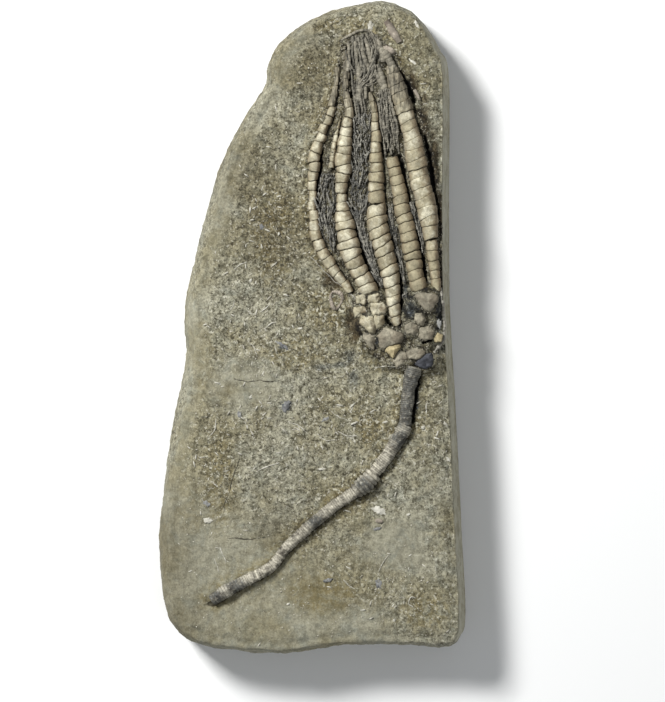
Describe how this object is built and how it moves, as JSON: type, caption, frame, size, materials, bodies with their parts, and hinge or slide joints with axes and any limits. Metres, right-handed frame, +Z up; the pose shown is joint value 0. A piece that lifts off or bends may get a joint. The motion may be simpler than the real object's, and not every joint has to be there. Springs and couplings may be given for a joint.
{
  "type": "crinoid fossil on matrix",
  "caption": "Crinoid fossil with its arms, cup and stem lying in relief on a slab of grey-olive siltstone.",
  "frame": {"origin": "middle of the slab's outline box, on its flat resting face", "axes": "+Y along the slab towards the tips of the arms, +X across it, +Z up out of the fossil's face"},
  "size_m": [0.0672, 0.1429, 0.0197],
  "materials": {
    "siltstone": "matte, rough grain",
    "arm_calcite": "matte to dull satin",
    "stem_calcite": "matte",
    "cup_calcite": "matte to dull satin",
    "dark_calcite": "matte",
    "pinnule_calcite": "matte, fibrous",
    "shell": "dull satin"
  },
  "bodies": {
    "root": {"matrix_slab": "siltstone", "arm_outer_left": "arm_calcite", "arm_left": "arm_calcite", "arm_left_branch": "arm_calcite", "arm_middle_upper": "arm_calcite", "arm_middle_lower": "arm_calcite", "arm_right": "arm_calcite", "arm_outer_right_upper": "arm_calcite", "arm_outer_right_lower": "arm_calcite", "stem_top": "stem_calcite", "stem_middle": "stem_calcite", "stem_collar": "stem_calcite", "stem_lower": "stem_calcite", "stem_end": "stem_calcite", "pinnules_tips": "pinnule_calcite", "pinnules_left": "pinnule_calcite", "pinnules_middle": "pinnule_calcite", "pinnules_right": "pinnule_calcite", "pinnules_inner_right": "pinnule_calcite", "pinnules_outer_right": "pinnule_calcite", "pinnules_cup": "pinnule_calcite", "fork_plate_left": "cup_calcite", "fork_plate_left_inner": "cup_calcite", "arm_base_left": "cup_calcite", "arm_base_outer_left": "cup_calcite", "arm_base_left_upper": "cup_calcite", "sliver_plate": "cup_calcite", "basal_plate_left": "cup_calcite", "radial_plate_front": "cup_calcite", "radial_plate_right": "cup_calcite", "arm_base_right": "cup_calcite", "fork_plate_right": "cup_calcite", "radial_plate_outer_right": "cup_calcite", "basal_plate_yellow": "cup_calcite", "basal_plate_front": "cup_calcite", "basal_plate_right": "cup_calcite", "basal_plate_dark": "dark_calcite", "crust_lump": "cup_calcite", "shell_lump": "shell", "shell_sliver": "shell", "shell_white": "shell", "shell_ridge": "shell", "shell_ring": "shell"}
  },
  "joints": []
}
